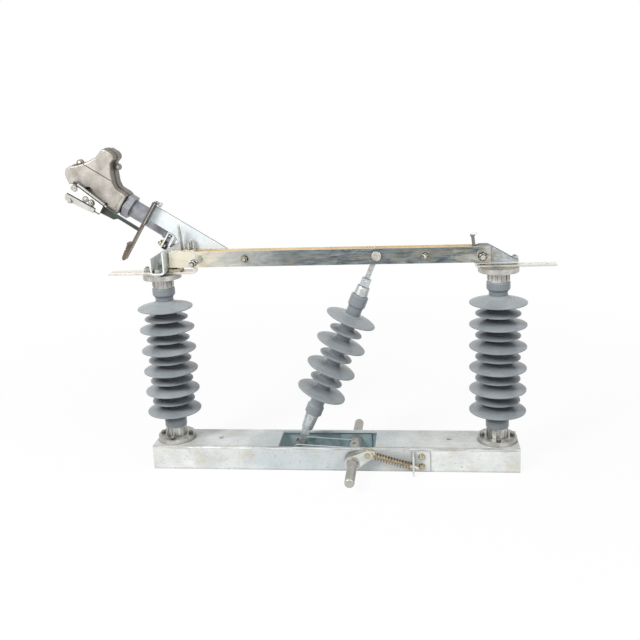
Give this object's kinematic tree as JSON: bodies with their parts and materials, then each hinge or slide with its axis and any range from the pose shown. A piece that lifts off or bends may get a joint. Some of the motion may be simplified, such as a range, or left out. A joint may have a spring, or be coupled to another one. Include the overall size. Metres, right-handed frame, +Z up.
{
  "type": "outdoor disconnect switch pole with load interrupter",
  "caption": "Outdoor switch pole on a channel base: shedded post insulators, twin switch blade, push-rod insulator, crank shaft with toggle spring, tilted load interrupter.",
  "frame": {"origin": "middle of the base's length and width, on the plane of its underside", "axes": "+X along the base from the jaw post to the hinge post, +Y from the toggle spring side to the back, +Z up"},
  "size_m": [1.2395, 0.373, 0.8424],
  "materials": {
    "galvanised_base": "matte",
    "galvanised_shaft": "satin",
    "silicone_housing": "satin",
    "cast_fittings": "matte",
    "tinned_copper": "satin",
    "zinc_steel": "satin",
    "stainless_spring": "satin",
    "plated_fasteners": "satin",
    "blade_metal": "satin",
    "trip_bar_paint": "satin",
    "grey_moulding": "satin",
    "head_moulding": "satin",
    "white_block": "satin"
  },
  "bodies": {
    "frame": {"base_channel": "galvanised_base", "bearing_plates": "zinc_steel", "left_post_housing": "silicone_housing", "right_post_housing": "silicone_housing", "left_post_fittings": "cast_fittings", "right_post_fittings": "cast_fittings", "left_terminal_strap": "tinned_copper", "jaw_bracket": "zinc_steel", "contact_foot": "tinned_copper", "jaw_contact": "tinned_copper", "arcing_horn": "zinc_steel", "contact_stop_plate": "zinc_steel", "spring_clip": "stainless_spring", "interrupter_bracket": "zinc_steel", "interrupter_tube": "grey_moulding", "interrupter_collar": "grey_moulding", "interrupter_head_front": "head_moulding", "interrupter_head_rear": "head_moulding", "right_terminal_strap": "tinned_copper", "hinge_bracket": "zinc_steel", "hinge_pin": "plated_fasteners", "blade_stop": "plated_fasteners", "spring_bracket": "zinc_steel"},
    "blade": {"front_blade": "blade_metal", "rear_blade": "blade_metal", "blade_spacers": "plated_fasteners", "blade_pin": "plated_fasteners", "pull_stud": "plated_fasteners", "trip_gusset": "zinc_steel", "trip_bar": "trip_bar_paint"},
    "operating_rod": {"rod_housing": "silicone_housing", "rod_upper_end": "cast_fittings", "rod_lower_end": "cast_fittings", "crank_pin": "plated_fasteners"},
    "crank": {"operating_shaft": "galvanised_shaft", "crank_boss": "zinc_steel", "crank_bars": "zinc_steel", "toggle_lever": "zinc_steel", "toggle_pin": "plated_fasteners"},
    "spring_guide": {"spring_rod": "plated_fasteners", "toggle_spring": "stainless_spring"},
    "trip_lever": {"trip_lever_bar": "trip_bar_paint", "trip_block": "white_block", "trip_strap": "zinc_steel", "trip_pivot_pin": "plated_fasteners"}
  },
  "joints": [
    {"name": "crank_shaft", "type": "hinge", "parent": "frame", "child": "crank", "pos_m": [0.057, 0, 0.034], "axis": [0, 1, 0], "range_deg": [0, 55]},
    {"name": "blade_hinge", "type": "hinge", "parent": "frame", "child": "blade", "pos_m": [0.383, 0, 0.556], "axis": [0, 1, 0], "range_deg": [0, 31.8]},
    {"name": "rod_pivot", "type": "hinge", "parent": "blade", "child": "operating_rod", "pos_m": [0.1292, 0, 0.557], "axis": [0, -1, 0], "range_deg": [0, 35]},
    {"name": "spring_pivot", "type": "hinge", "parent": "crank", "child": "spring_guide", "pos_m": [0.0955, -0.077, 0.0558], "axis": [0, -1, 0], "range_deg": [0, 74.3], "deforming": ["toggle_spring"]},
    {"name": "trip_pivot", "type": "hinge", "parent": "frame", "child": "trip_lever", "pos_m": [-0.64168, 0.02, 0.747], "axis": [0, -1, 0], "range_deg": [0, 75], "stiffness_Nm_per_rad": 0.5, "springref_deg": -34.38}
  ],
  "couplings": [
    {"joint": "blade_hinge", "follows": "crank_shaft", "ratio": 0.5776},
    {"joint": "rod_pivot", "follows": "crank_shaft", "ratio": 0.635},
    {"joint": "spring_pivot", "follows": "crank_shaft", "ratio": 1.349}
  ]
}
